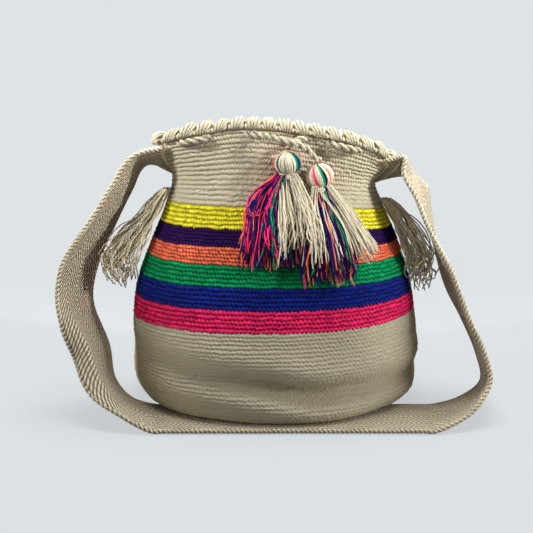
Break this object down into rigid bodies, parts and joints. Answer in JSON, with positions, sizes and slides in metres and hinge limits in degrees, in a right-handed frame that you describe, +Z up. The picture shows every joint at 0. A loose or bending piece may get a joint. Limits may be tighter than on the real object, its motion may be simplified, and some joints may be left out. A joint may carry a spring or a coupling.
{
  "type": "crochet drawstring shoulder bag",
  "caption": "Striped crochet bucket bag with a drawstring mouth, yarn tassels and a wide woven shoulder strap that lies round its front.",
  "frame": {"origin": "middle of the round base, on the surface that the bag stands on", "axes": "+Z up, front with the two tassels towards -Y, +X to the right seen from the front"},
  "size_m": [0.424, 0.2427, 0.2869],
  "materials": {
    "crochet_natural": "matt crocheted cotton",
    "crochet_pink": "matt crocheted cotton",
    "crochet_blue": "matt crocheted cotton",
    "crochet_green": "matt crocheted cotton",
    "crochet_orange": "matt crocheted cotton",
    "crochet_purple": "matt crocheted cotton",
    "crochet_yellow": "matt crocheted cotton",
    "strap_natural": "matt woven cotton",
    "cord_natural": "matt twisted cotton",
    "tassel_cream": "matt cotton yarn",
    "fringe_natural": "matt cotton yarn"
  },
  "bodies": {
    "root": {"bag_body": "crochet_natural", "shoulder_strap": "strap_natural", "drawstring": "cord_natural", "front_tassel_left": "tassel_cream", "front_tassel_right": "tassel_cream", "tassel_tie_left": "cord_natural", "tassel_tie_right": "cord_natural", "side_fringe_left": "fringe_natural", "side_fringe_right": "fringe_natural"}
  },
  "joints": []
}
